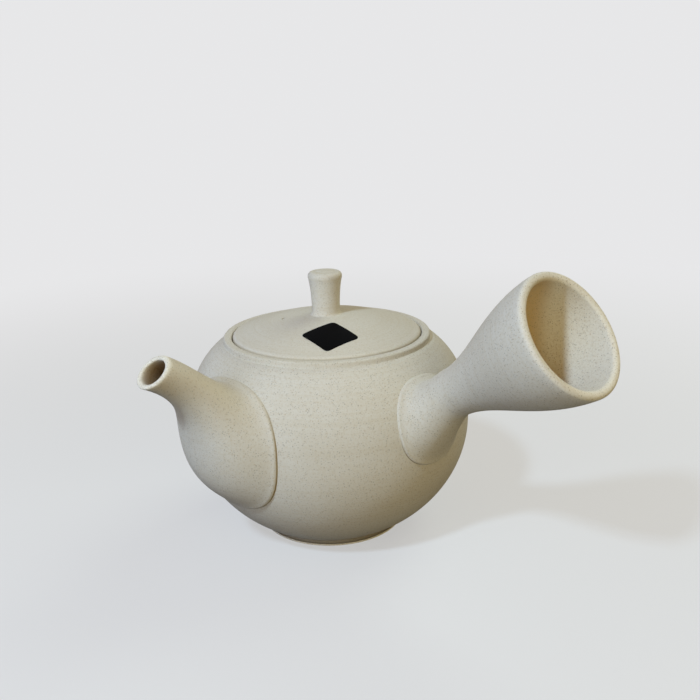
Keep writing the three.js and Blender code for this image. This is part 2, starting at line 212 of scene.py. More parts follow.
class SpoutSettings(bpy.types.PropertyGroup):
    """Sizes of the spout. Reaches are from the pot's axis and rises from the belly's height."""

    root_rise: length("Root rise", 26.6, "Top of the root above the belly")
    root_drop: length("Root drop", 21.8, "Bottom of the root below the belly")
    root_half_width: length("Root half width", 25.4, "Half width of the root")
    mouth_reach: length("Mouth reach", 79.3, "Reach of the mouth's middle")
    mouth_rise: length("Mouth rise", 37.5, "Rise of the mouth's middle")
    mouth_radius: length("Mouth radius", 6.8, "Outer radius of the mouth")
    mouth_tilt: angle("Mouth tilt", 48.5, "Tilt of the mouth from upright")
    mouth_round: length("Mouth round", 0.9, "Radius of the mouth's edges")
    wall: length("Wall", 1.9, "Wall at the mouth")
    root_wall: length("Root wall", 3.4, "Wall at the root")
    rim_start: length("Rim start", 2.2, "Depth in the mouth at which the paler rim starts")
    rim_full: length("Rim full", 0.6, "Depth from which the rim is palest")
    rim_share: factor("Rim share", 0.9, "How much paler the mouth's rim is")
    # Towards the mouth the clay is partly its own tan and partly painted shade on the neck.
    tan_and_shade_start: factor("Warm start", 0.2, "Share of the spout's rise at which it turns tan")
    tan_and_shade_full: factor("Warm full", 0.8, "Share of the rise above which it is most tan")
    tan_and_shade: factor("Warmth", 0.35, "How tan the clay is near the mouth")
    # The brown in the bore is painted shade deep inside the spout.
    bore_shade_full: length("Bore full", 4, "Depth in the mouth from which the bore is all brown")
    bore_shade_share: factor("Bore share", 0.95, "How much of the brown shows inside")
    # The seam's colour is slip with painted crease shade, strongest low down.
    slip_and_shade_full: factor("Slip full", 0.1, "Share of the rise below which the seam has most slip")
    slip_and_shade_bare: factor("Slip bare", 0.7, "Share of the rise above which the seam has no slip")
    throat_low: pull("Throat low", 57, 22, "First pull point of the upper outline")
    throat_high: pull("Throat high", 62, 36, "Second pull point of the upper outline")
    belly_low: pull("Belly low", 80.4, -12.5, "First pull point of the lower outline")
    belly_high: pull("Belly high", 51.3, 17.2, "Second pull point of the lower outline")
    flank_low: length("Flank low", 19, "First pull value of the half width")
    flank_high: length("Flank high", 8, "Second pull value of the half width")
    rings: count("Rings", 44, "Cross-sections from the root to the mouth")
    sides: count("Sides", 112, "Sides of a cross-section")


class HandleSettings(bpy.types.PropertyGroup):
    """Sizes of the handle, measured as the spout's are."""

    root_rise: length("Root rise", 26.4, "Top of the root above the belly")
    root_drop: length("Root drop", 5, "Bottom of the root below the belly")
    root_half_width: length("Root half width", 16, "Half width of the root")
    tilt: angle("Tilt", 33.3, "Tilt of the handle's axis above level")
    axis_reach: length("Axis reach", 50, "Reach at which the axis starts")
    axis_rise: length("Axis rise", 14.7, "Rise at which the axis starts")
    neck_place: length("Neck place", 18, "Place of the neck along the axis")
    neck_radius: length("Neck radius", 8.8, "Radius of the neck")
    neck_pull: length("Neck pull", 7, "How far the neck runs straight towards the root")
    mouth_place: length("Mouth place", 70.2, "Place of the mouth along the axis")
    mouth_radius: length("Mouth radius", 21.4, "Outer radius of the bell's mouth")
    mouth_cant: angle("Mouth cant", 2, "How far the mouth leans back")
    mouth_round: length("Mouth round", 1.36, "Radius of the mouth's edges")
    wall: length("Wall", 2.8, "Thickness of the wall at the root")
    mouth_wall: length("Mouth wall", 3.1, "Thickness of the wall at the mouth")
    root_pull: length("Root pull", 6.5, "How far the root stands out before it turns up the axis")
    root_dip: length("Root dip", 2.5, "How far the root's upper outline sinks")
    # The bell's shadow is painted shade: tan on the side inside the bell that the lamp doesn't
    # reach, with the lit side painted lighter in the rims' colour.
    bell_shadow_way: angle("Flash way", 47.1, "Direction in which the flashed clay inside the bell ends")
    bell_shadow_end: length("Flash end", 70, "How far it reaches that way from the axis")
    bell_shadow_fade: length("Flash fade", 4, "Half width of its soft edge")
    bell_shadow_start: length("Flash start", 0.4, "Depth in the mouth at which it starts")
    bell_shadow_full: length("Flash full", 2.4, "Depth from which it shows most")
    bell_shadow_share: factor("Flash share", 0.85, "How much of the flash shows")
    rim_start: length("Rim start", 3.2, "Depth in the mouth at which the paler rim starts")
    rim_full: length("Rim full", 1.2, "Depth from which the rim is palest")
    rim_share: factor("Rim share", 0.45, "How much paler the mouth's rim is")
    flare_low: FloatVectorProperty(
        name="Flare low", default=(0.3, 0.05), size=2,
        description="First pull point of the bell, as shares of its length and rise",
    )
    flare_high: FloatVectorProperty(
        name="Flare high", default=(0.6, 1), size=2,
        description="Second pull point of the bell, as shares of its length and rise",
    )
    rings: count("Rings", 30, "Cross-sections of the root, and again of the bell")
    sides: count("Sides", 112, "Sides of a cross-section")


class StrainerSettings(bpy.types.PropertyGroup):
    """Sizes of the strainer and of the passage behind it."""

    passage_rise: length("Passage rise", 2, "Height of the passage above the belly")
    passage_radius: length("Passage radius", 12, "Radius of the passage through the pot's wall")
    radius: length("Radius", 20, "Radius of the dome")
    base_radius: length("Base radius", 17, "Radius of the dome's foot on the pot's wall")
    wall: length("Wall", 2, "Thickness of the dome")
    hole_radius: length("Hole radius", 0.9, "Radius of a hole")
    hole_pitch: length("Hole pitch", 3.7, "Distance between rings of holes")
    rings: count("Rings", 4, "Rings of holes round the middle one")
    holes_per_ring: count("Holes per ring", 6, "Holes that each ring has more than the last")
    hole_sides: count("Hole sides", 20, "Sides of a hole")
    steps: count("Steps", 96, "Sides of the dome and of the passage")
    sink: length("Sink", 0.6, "How deep the foot is luted into the pot's wall")


class JointSettings(bpy.types.PropertyGroup):
    """Sizes of the luted joints of the horns on the pot."""

    edge: length("Edge", 1, "How far the edge of a root stands proud of the pot")
    bevel: length("Bevel", 0.92, "Radius of that edge")
    sink: length("Sink", 1.4, "How deep a root is luted into the pot's wall")
    undercut: length("Undercut", 0.35, "How far the root draws in where it meets the pot")
    fullness: factor("Fullness", 0.55, "Squareness of a root's outline, where 0.5 is an ellipse")
    # The seam's colour is slip with painted crease shade in the joint's crease.
    slip_and_shade_low: length("Slip low", 0.35, "Height above the pot up to which the seam is all slip")
    slip_and_shade_high: length("Slip high", 0.8, "Height above the pot at which the slip ends")


class ClaySettings(bpy.types.PropertyGroup):
    """Colours and grain of the stoneware."""

    pale: colour("Pale", (0.675, 0.65, 0.583), "The clay where it is palest")
    cream: colour("Cream", (0.64, 0.605, 0.525), "The clay in its warmer clouds")
    tan: colour("Tan", (0.555, 0.475, 0.33), "The clay where it fired warmest")
    # This colour also paints the light on the lit side inside the handle's bell, and a highlight on
    # the foot's lip.
    rim: colour("Rim", (0.83, 0.80, 0.71), "Rims that were wiped smooth")
    # Slip colour; at luted joints it also carries painted crease shade, and at the lid's edge
    # painted shade of the gap.
    slip: colour("Slip", (0.36, 0.28, 0.16), "The slip in the seam of a luted joint")
    speck: colour("Speck", (0.16, 0.14, 0.11), "The dark specks")
    ochre: colour("Ochre", (0.44, 0.33, 0.19), "The ochre grains")
    # Painted shade deep inside the spout.
    brown: colour("Brown", (0.36, 0.24, 0.12), "The clay inside the spout")
    # Painted shade in the cove above the foot.
    shade: colour("Shade", (0.16, 0.13, 0.09), "The dull clay in the cove above the foot")
    # Painted shade on the shaded side inside the handle's bell.
    bell_shadow_tan: colour("Flash", (0.62, 0.44, 0.20), "The clay inside the handle, where it was flashed")
    cloud_share: factor("Cloud share", 0.6, "How much the clouds show")
    line_share: factor("Line share", 0.2, "How much the turning lines show")
    ochre_share: factor("Ochre share", 0.5, "How much the ochre grains show")
    fine_share: factor("Fine share", 0.52, "How much the fine specks show")
    dot_share: factor("Dot share", 0.45, "How much the larger specks show")
    # Strength of the painted shade in the cove above the foot.
    cove_shade_share: factor("Cove share", 0.72, "How dull the cove above the foot is")
    inner_start: length("Inner start", 1.2, "Depth in the wall at which the clay turns tan")
    inner_full: length("Inner full", 2.2, "Depth in the wall from which it is most tan")
    inner_warmth: factor("Inner warmth", 0.65, "How tan the clay is inside the pot")
    specular: factor("Specular", 0.25, "Strength of the clay's faint sheen")
    roughness: factor("Roughness", 0.88, "Roughness of the bare clay")
    relief: length("Relief", 0.088, "Height of the grain")


def lamp_settings(name, power, turn, elevation, width, light):
    """The settings of one lamp, with its own defaults."""
    return type(f"{name.title()}Settings", (bpy.types.PropertyGroup,), {
        "__doc__": f"The lamp called {name}.",
        "__annotations__": {
            "power": factor("Power", power, f"Power of the lamp called {name} in watts"),
            "turn": angle("Turn", turn, "Direction of the lamp from the camera's"),
            "elevation": angle("Elevation", elevation, "Height of the lamp as an angle"),
            "width": length("Width", width, "Width of the lamp"),
            "colour": colour("Colour", light, "Colour of the lamp's light"),
        },
    })


LAMPS = {
    "window": lamp_settings("window", 4.45, -34, 45, 75, (0.64, 0.82, 1.0)),
    "side": lamp_settings("side", 2.95, -50, 12, 600, (0.73, 0.83, 1.0)),
    "room": lamp_settings("room", 2.4, 25, 12, 600, (1.0, 0.87, 0.47)),
    "back": lamp_settings("back", 3.3, 130, 40, 600, (0.88, 1.0, 0.86)),
}


class StageSettings(bpy.types.PropertyGroup):
    """The floor, the sky and the camera."""

    azimuth: angle("Azimuth", 47.1, "Direction of the camera round the pot")
    distance: length("Distance", 337.6, "Level distance of the camera from the pot's axis")
    height: length("Height", 174.3, "Height of the camera")
    pan: angle("Pan", -1.5, "How far the camera turns off the pot's axis")
    tilt: angle("Tilt", 17.17, "How far the camera looks down")
    roll: angle("Roll", -1.61, "How far the camera leans")
    lens: length("Lens", 46.29, "Focal length for a sensor 36 mm wide")
    floor: colour("Floor", (0.82, 0.84, 0.88), "Colour of the floor")
    floor_glow: colour("Floor glow", (0.76, 0.765, 0.77), "Paleness that the camera sees there")
    floor_share: factor("Floor share", 0.6, "How much of that paleness shows")
    floor_bounce: colour("Floor bounce", (0.13, 0.13, 0.135), "Colour that the floor gives the pot")
    floor_radius: length("Floor radius", 3000, "Radius of the floor")
    fade_start: length("Fade start", 100, "Distance at which the floor starts to fade")
    fade_end: length("Fade end", 550, "Distance at which only the backdrop is left")
    backdrop: colour("Backdrop", (0.80, 0.80, 0.81), "Colour behind the floor")
    lamp_distance: length("Lamp distance", 900, "Distance of the lamps from the pot")
    sky: factor("Sky", 0.18, "Strength of the light from all round")
    sky_colour: colour("Sky colour", (1.0, 0.55, 0.22), "Colour of the light from all round")


class TeapotSettings(bpy.types.PropertyGroup):
    """All settings of the teapot."""

    pot: PointerProperty(type=PotSettings)
    lid: PointerProperty(type=LidSettings)
    knob: PointerProperty(type=KnobSettings)
    label: PointerProperty(type=LabelSettings)
    spout: PointerProperty(type=SpoutSettings)
    handle: PointerProperty(type=HandleSettings)
    strainer: PointerProperty(type=StrainerSettings)
    joint: PointerProperty(type=JointSettings)
    clay: PointerProperty(type=ClaySettings)
    stage: PointerProperty(type=StageSettings)
    window: PointerProperty(type=LAMPS["window"])
    side: PointerProperty(type=LAMPS["side"])
    room: PointerProperty(type=LAMPS["room"])
    back: PointerProperty(type=LAMPS["back"])


# Outlines

def along(steps, at):
    """Values of a function of 0 to 1 at equal steps, both ends included."""
    return [at(i / steps) for i in range(steps + 1)]


def mixed(a, b, t):
    """The value between a and b at a share t."""
    return a + (b - a) * t


def pot_form(pot, above, inset=0.0):
    """Depth and power of the pot's curve above or below the belly. An inset goes inwards."""
    if above:
        return pot.shoulder_depth - inset, pot.shoulder_fullness
    return pot.belly_height + pot.under_reach - inset, 2


def pot_radius(pot, height, inset=0.0):
    """Radius of the pot at a height."""
    depth, power = pot_form(pot, height > pot.belly_height, inset)
    share = min(1, abs(height - pot.belly_height) / depth)
    return (pot.belly_radius - inset) * (1 - share ** power) ** (1 / power)


def pot_height(pot, radius, above, inset=0.0):
    """Height at which the pot narrows to a radius, above or below the belly."""
    depth, power = pot_form(pot, above, inset)
    share = (1 - (radius / (pot.belly_radius - inset)) ** power) ** (1 / power)
    return pot.belly_height + (depth if above else -depth) * share


def pot_curve(pot, start, end, steps, inset=0.0):
    """Points of the pot's curve between two heights, from the first to the last."""
    def turn_at(height):
        rise = height - pot.belly_height
        return math.asin(rise / pot_form(pot, rise > 0, inset)[0])

    def at(t):
        turn = mixed(turn_at(start), turn_at(end), t)
        height = pot.belly_height + pot_form(pot, turn > 0, inset)[0] * math.sin(turn)
        return (pot_radius(pot, height, inset), height)

    return along(steps, at)


def corner(centre_x, centre_z, radius, start, end, steps=6):
    """Points of a rounded corner: an arc from one heading to the next, in degrees."""
    def at(t):
        turn = math.radians(mixed(start, end, t))
        return (centre_x + radius * math.cos(turn), centre_z + radius * math.sin(turn))

    return along(steps, at)


def around(turn, reach, height):
    """A point at a direction and a distance from the axis, and at a height."""
    return Vector((reach * math.cos(turn), reach * math.sin(turn), height))


def bent(start, pull_point, end, steps):
    """Points of a curve from start to end that is drawn towards one pull point."""
    a, p, b = (Vector(q) for q in (start, pull_point, end))
    curve = interpolate_bezier(a, a.lerp(p, 2 / 3), b.lerp(p, 2 / 3), b, steps + 1)
    return [tuple(q) for q in curve]


class Seat:
    """Heights and radii that the collar, the seat and the lid share."""

    def __init__(self, pot, lid):
        self.shoulder = pot_height(pot, pot.collar_radius + pot.collar_ledge, above=True)
        self.collar = self.shoulder + pot.collar_rise
        self.recess = lid.radius + lid.clearance
        self.top = self.collar - pot.seat_depth
        self.under = self.top - pot.seat_thickness
        self.opening = self.recess - pot.seat_width
        self.lid_rest = self.top + lid.rest_gap
        self.lid_top = self.collar + lid.crown
        self.dome_radius = lid.dome_radius

    def dome(self, radius, lift=0.0):
        """Height of the lid's dome at a radius, raised by an amount."""
        drop = self.dome_radius - math.sqrt(self.dome_radius ** 2 - radius ** 2)
        return self.lid_top + lift - drop

    def dome_curve(self, start, end, steps, lift=0.0):
        """Points of the dome between two radii."""
        radii = along(steps, lambda t: mixed(start, end, t))
        return [(radius, self.dome(radius, lift)) for radius in radii]


# Modelling by hand

def deselect():
    """Leaves edit mode, with nothing selected."""
    if bpy.context.mode != "OBJECT":
        bpy.ops.object.mode_set(mode="OBJECT")
    bpy.ops.object.select_all(action="DESELECT")


def focus(obj):
    """Makes an object the only one that is selected, and the active one."""
    deselect()
    obj.select_set(True)
    bpy.context.view_layer.objects.active = obj


def select_mesh(select=True):
    """Selects all or nothing of the mesh in edit mode."""
    bpy.ops.mesh.select_all(action="SELECT" if select else "DESELECT")


def edit(obj, select=True):
    """Starts edit mode on an object, with all or nothing in it selected."""
    focus(obj)
    bpy.ops.object.mode_set(mode="EDIT")
    select_mesh(select)


def apply_place():
    """Gives the new object's place to its mesh, so that the object sits at the origin."""
    bpy.ops.object.transform_apply(location=True, rotation=True, scale=True)
    return bpy.context.object


def use_modifier(obj, kind, **settings):
    """Adds a modifier, sets it and applies it."""
    focus(obj)
    modifier = obj.modifiers.new(kind.title(), kind)
    for name, value in settings.items():
        setattr(modifier, name, value)
    bpy.ops.object.modifier_apply(modifier=modifier.name)


def remove(obj):
    """Deletes a helper and its mesh."""
    mesh = obj.data
    bpy.data.objects.remove(obj)
    bpy.data.meshes.remove(mesh)


def cut(obj, tool, operation="DIFFERENCE"):
    """Cuts an object with a tool, or keeps what both share, and deletes the tool and slivers."""
    use_modifier(obj, "BOOLEAN", object=tool, operation=operation, solver="EXACT")
    remove(tool)
    edit(obj)
    bpy.ops.mesh.remove_doubles(threshold=SLIVER)
    bpy.ops.mesh.dissolve_degenerate(threshold=SLIVER)
    deselect()
    if not obj.data.polygons:
        raise RuntimeError(f"nothing is left of {obj.name}")


def turned(name, profile, steps):
    """A solid turned about Z from a profile of radius and height."""
    deselect()
    start = Vector((profile[0][0], 0, profile[0][1]))
    bpy.ops.mesh.primitive_plane_add(size=MM, location=start)
    obj = apply_place()
    obj.name = name
    edit(obj)
    bpy.ops.mesh.merge(type="CENTER")
    for (x0, z0), (x1, z1) in zip(profile, profile[1:]):
        step = (x1 - x0, 0, z1 - z0)
        bpy.ops.mesh.extrude_region_move(TRANSFORM_OT_translate={"value": step})
    select_mesh()
    bpy.ops.mesh.spin(steps=steps, angle=math.tau, center=(0, 0, 0), axis=(0, 0, 1))
    select_mesh()
    bpy.ops.mesh.remove_doubles(threshold=WELD)
    bpy.ops.mesh.normals_make_consistent(inside=False)
    deselect()
    return obj


def bar(radius, depth, sides, location, rotation=(0, 0, 0)):
    """A round bar for cutting a hole."""
    deselect()
    bpy.ops.mesh.primitive_cylinder_add(
        radius=radius, depth=depth, vertices=sides, location=location, rotation=rotation,
    )
    return apply_place()


class Section:
    """A round cross-section of a horn along +X, between two points of its upright plane.

    Cling is how much it follows the pot's form, from 0 to 1.
    """

    def __init__(self, top, bottom, half_width, cling=0.0):
        self.top, self.bottom = top, bottom
        self.half_width = half_width
        self.cling = cling

    def drawn_in(self, depth):
        """The same section with its outline moved inwards."""
        up = (self.top - self.bottom).normalized() * depth
        return Section(self.top - up, self.bottom + up, self.half_width - depth, self.cling)

    def add_ring(self, sides, fullness):
        """Adds the outline as a face, which stays selected. Fullness 0.5 is an ellipse."""
        middle = (self.top + self.bottom) / 2
        rise = (self.top - self.bottom) / 2
        up = Vector((rise.x, 0, rise.y)).normalized()
        across = Vector((0, 1, 0))
        turn = Matrix((across, up, across.cross(up))).transposed().to_euler()
        place = Vector((middle.x, 0, middle.y))
        size = rise.length
        bpy.ops.mesh.primitive_plane_add(size=2 * size, location=place, rotation=turn)
        bpy.ops.mesh.bevel(
            offset=size, segments=sides // 4, affect="VERTICES", clamp_overlap=False,
            profile=mixed(0.5, fullness, self.cling),
        )
        bpy.ops.mesh.remove_doubles(threshold=size / sides)
        bpy.ops.transform.resize(value=(1, self.half_width / size, 1), center_override=place)


def root_point(pot, joint, rise):
    """The point where a root stands proud of the pot, at a rise above the belly."""
    height = pot.belly_height + rise
    return Vector((pot_radius(pot, height) + joint.edge, height))


def clinging_sections(rings, upper, lower, widths):
    """Cross-sections between two outlines with four points each, and less and less cling.

    The second ring is left out, which gives the root's rounded edge its room.
    """
    points = CURVE_STEPS * rings + 1
    tops = interpolate_bezier(*upper, points)
    bottoms = interpolate_bezier(*lower, points)
    half_widths = interpolate_bezier(*(Vector((0, w)) for w in widths), points)
    return [
        Section(tops[k], bottoms[k], half_widths[k].y, (1 - k / (points - 1)) ** 3)
        for k in (0, *range(2 * CURVE_STEPS, points, CURVE_STEPS))
    ]


def loft(name, sections, sides, fullness):
    """An open skin through cross-sections, with its cling and its ends kept as vertex groups."""
    deselect()
    bpy.ops.mesh.primitive_plane_add(size=MM)
    obj = bpy.context.object
    obj.name = name
    groups = [obj.vertex_groups.new(name=group) for group in ("root", "mouth", "cling")]
    tools = bpy.context.scene.tool_settings
    last = len(sections) - 1
    edit(obj)
    bpy.ops.mesh.delete(type="VERT")
    for i, section in enumerate(sections):
        section.add_ring(sides, fullness)
        weights = (float(i == 0), float(i == last), section.cling)
        for group, weight in zip(groups, weights):
            if weight:
                obj.vertex_groups.active_index = group.index
                tools.vertex_group_weight = weight
                bpy.ops.object.vertex_group_assign()
    # Deleting the rings' faces also clears the selection, so it waits for the last ring.
    select_mesh()
    bpy.ops.mesh.delete(type="ONLY_FACE")
    select_mesh()
    bpy.ops.mesh.bridge_edge_loops()
    deselect()
    return obj


def select_group(obj, name):
    """Adds a vertex group to the selection in edit mode."""
    obj.vertex_groups.active_index = obj.vertex_groups[name].index
    bpy.ops.object.vertex_group_select()


def luted_horn(sections, sides, walls, mouth_round, pot, joint):
    """A hollow horn along +X whose root is luted onto the pot.

    The outer skin and the bore cling to the pot's form at the root, stand proud of it by the
    joint's edge, and reach a little into the pot's wall, where they meet.
    """
    last = len(sections) - 1
    bore_sections = [s.drawn_in(mixed(*walls, i / last)) for i, s in enumerate(sections)]
    top = pot.belly_height + pot.shoulder_depth
    proud = [(r + joint.edge, h) for r, h in pot_curve(pot, 0, top - MM, steps=160)]
    form = turned("form", proud, steps=256)
    skins = []
    for part, parts_sections in (("skin", sections), ("bore", bore_sections)):
        skin = loft(part, parts_sections, sides, joint.fullness)
        shade = (1, 1, 1, 1) if part == "bore" else (0, 0, 0, 1)
        bpy.ops.geometry.color_attribute_add(name="bore", domain="POINT", color=shade)
        use_modifier(
            skin, "SHRINKWRAP", target=form, wrap_method="PROJECT", vertex_group="cling",
            use_project_x=True, use_positive_direction=True, use_negative_direction=True,
        )
        skins.append(skin)
    remove(form)
    skin, bore = skins
    for group in ("root", "mouth"):
        bore.vertex_groups[group].name = "bore " + group
    edit(bore)
    bpy.ops.mesh.flip_normals()
    focus(skin)
    bore.select_set(True)
    bpy.ops.object.join()
    skin.name = "horn"

    edit(skin, select=False)
    select_group(skin, "mouth")
    select_group(skin, "bore mouth")
    bpy.ops.mesh.bridge_edge_loops()
    select_mesh(select=False)
    for root, draw in (("root", joint.undercut), ("bore root", 0)):
        select_group(skin, root)
        bpy.ops.mesh.extrude_edges_move(
            TRANSFORM_OT_translate={"value": (-joint.edge - joint.sink, 0, 0)},
        )
        bpy.ops.object.vertex_group_remove_from()
        share = 1 - draw / sections[0].half_width
        middle = (sections[0].top + sections[0].bottom) / 2
        bpy.ops.transform.resize(value=(1, share, share), center_override=(middle.x, 0, middle.y))
        bpy.ops.object.vertex_group_assign_new()
        skin.vertex_groups.active.name = root + " stub"
        select_mesh(select=False)
    select_group(skin, "root stub")
    select_group(skin, "bore root stub")
    bpy.ops.mesh.bridge_edge_loops()
    select_mesh()
    bpy.ops.mesh.normals_make_consistent(inside=False)
    select_mesh(select=False)
    # A bevel changes the vertex groups beside it, so one rounds both edges of the mouth.
    select_group(skin, "mouth")
    select_group(skin, "bore mouth")
    bpy.ops.mesh.region_to_loop()
    bpy.ops.mesh.bevel(offset=mouth_round, segments=8, affect="EDGES", profile=0.5)
    select_mesh(select=False)
    bpy.ops.mesh.select_mode(type="VERT")
    select_group(skin, "root")
    bpy.ops.mesh.bevel(offset=joint.bevel, segments=6, affect="EDGES", profile=0.5)
    deselect()
    return skin


# Finishes

# Scales are per metre. A grain's share is of the cells, and its size and edge are of a cell.
CLOUDS = {"scale": 42, "detail": 3}
SAND = {"scale": 1500, "detail": 3, "roughness": 0.65}
TURNING_LINES = {"scale": 900, "roughness": 0.6}
FINE_SPECKS = {"per_metre": 1900, "share": 0.85, "size": 0.5, "edge": 0.3}
DOTS = {"per_metre": 1000, "share": 0.3, "size": 0.28, "edge": 0.12}
OCHRE_GRAINS = {"per_metre": 1400, "share": 0.7, "size": 0.42, "edge": 0.2}
PAPER_TOOTH = {"scale": 2600, "detail": 3, "roughness": 0.6}
PAPER_HAZE = {"scale": 160}

CLOUD_RAMP = (0.35, 0.68)           # noise at which clouds start and are full
LINE_RAMP = (0.4, 0.75)             # noise at which turning lines start and are full
SAND_START, SAND_GAIN = 0.45, 1.6   # noise at which sand tints the clay, and how fast
CLOUD_DRIFT = 0.25                  # how far clouds move the edges of the warm clay
SAND_ROUGHNESS = 0.12               # how much sand changes the roughness
DOT_GLOSS = 0.15                    # how much smoother the larger specks are
SAND_RELIEF, LINE_RELIEF, SPECK_PITS = 0.55, 0.35, 0.25
TOOTH_ROUGHNESS, HAZE_ROUGHNESS = 0.2, 0.12

# The foot's finish, in heights of its lip
LIP_HIGHLIGHT_RAMP = (1, 0.85)                # where the pale lip starts, and is palest below; wiped clay with a painted highlight
COVE_SHADE_RAMP = (0.87, 1)               # where the painted shade of the cove comes in
COVE_SHADE_FADE = (7, 2.2)                # where the painted shade ends above, and is darkest below


class Value:
    """An output of a shader node. Python's operators on it add Math nodes."""

    def __init__(self, finish, socket):
        self.finish, self.socket = finish, socket

    def maths(self, operation, *others):
        """A Math node on this value and others."""
        return self.finish.maths(operation, self, *others)

    def __add__(self, other):
        return self.maths("ADD", other)

    def __sub__(self, other):
        return self.maths("SUBTRACT", other)

    def __rsub__(self, other):
        return self.finish.maths("SUBTRACT", other, self)

    def __mul__(self, other):
        return self.maths("MULTIPLY", other)

    __radd__ = __add__
    __rmul__ = __mul__

    def clamped(self):
        """The value kept between 0 and 1."""
        inputs = {"Value": self, "Min": 0, "Max": 1}
        return self.finish.node("ShaderNodeClamp", {}, inputs, "Result")

    def ramp(self, start, end):
        """A smooth step from 0 at start to 1 at end."""
        return self.finish.node(
            "ShaderNodeMapRange", {"interpolation_type": "SMOOTHSTEP"},
            {"Value": self, "From Min": start, "From Max": end}, "Result",
        )


class Finish:
    """The nodes of a material or of a world, written as expressions."""

    def __init__(self, owner):
        owner.use_nodes = True
        self.owner = owner
        self.tree = owner.node_tree
        self.tree.nodes.clear()

    def node(self, kind, settings, inputs, output=0):
        """Adds a node: its settings first, then the values or links of its sockets."""
        node = self.tree.nodes.new(kind)
        for name, value in settings.items():
            setattr(node, name, value)
        for name, value in inputs.items():
            if isinstance(value, Value):
                self.tree.links.new(value.socket, node.inputs[name])
            else:
                node.inputs[name].default_value = value
        return Value(self, node.outputs[output]) if node.outputs else None

    def output_of(self, value, output):
        """Another output of the node that a value comes from."""
        return Value(self, value.socket.node.outputs[output])

    def maths(self, operation, *values):
        """A Math node on some values."""
        return self.node("ShaderNodeMath", {"operation": operation}, dict(enumerate(values)))

    def place(self):
        """The point on the piece, in metres."""
        return self.node("ShaderNodeTexCoord", {}, {}, "Object")

    def mix(self, share, a, b):
        """A colour between a and b."""
        inputs = {0: share, 6: rgba(a), 7: rgba(b)}
        return self.node("ShaderNodeMix", {"data_type": "RGBA"}, inputs, 2)

    def noise(self, place, scale, detail=2.0, roughness=0.5):
        """A cloudy value about 0.5."""
        inputs = {"Vector": place, "Scale": scale, "Detail": detail, "Roughness": roughness}
        return self.node("ShaderNodeTexNoise", {}, inputs, "Fac")

    def grains(self, place, per_metre, share, size, edge):
        """Round grains: a share of the cells hold one, of any size up to the given one."""
        inputs = {"Vector": place, "Scale": per_metre}
        distance = self.node("ShaderNodeTexVoronoi", {}, inputs, "Distance")
        cell = {"Color": self.output_of(distance, "Color")}
        chance = self.node("ShaderNodeSeparateColor", {}, cell, "Red")
        radius = (chance - (1 - share)) * (size / share)
        return ((radius - distance) * (1 / edge)).clamped()

    def radius_and_height(self, place):
        """How far a point lies from the axis and above the floor."""
        x = self.node("ShaderNodeSeparateXYZ", {}, {"Vector": place}, "X")
        y, z = self.output_of(x, "Y"), self.output_of(x, "Z")
        return (x * x + y * y).maths("SQRT"), z

    def inside(self):
        """1 on the bore of a horn and 0 on its skin."""
        return self.node("ShaderNodeAttribute", {"attribute_name": "bore"}, {}, "Fac")

    def reach(self, place, way):
        """How far a point lies in a direction."""
        settings = {"operation": "DOT_PRODUCT"}
        return self.node("ShaderNodeVectorMath", settings, {0: place, 1: way}, "Value")

    def surface(self, base, roughness, relief, depth, specular):
        """The finished surface. Relief is a height of 0 to 1 and depth is its size in metres."""
        heights = {"Strength": 1.0, "Distance": depth, "Height": relief}
        normal = self.node("ShaderNodeBump", {}, heights, "Normal")
        self.show(self.node("ShaderNodeBsdfPrincipled", {}, {
            "Base Color": base, "Roughness": roughness, "Normal": normal,
            "Specular IOR Level": specular,
        }))
        return self.owner

    def colour_shader(self, kind, tint):
        """A shader of one plain colour."""
        return self.node(f"ShaderNode{kind}", {}, {"Color": rgba(tint)})

    def blend(self, share, a, b):
        """A shader between a and b."""
        return self.node("ShaderNodeMixShader", {}, {0: share, 1: a, 2: b})

    def show(self, shader, output="Material"):
        """Links a shader to the output."""
        self.node(f"ShaderNodeOutput{output}", {}, {"Surface": shader})


def rgba(value):
    """A colour socket's value from three numbers. A link stays as it is."""
    return value if isinstance(value, Value) else (*value[:3], 1)


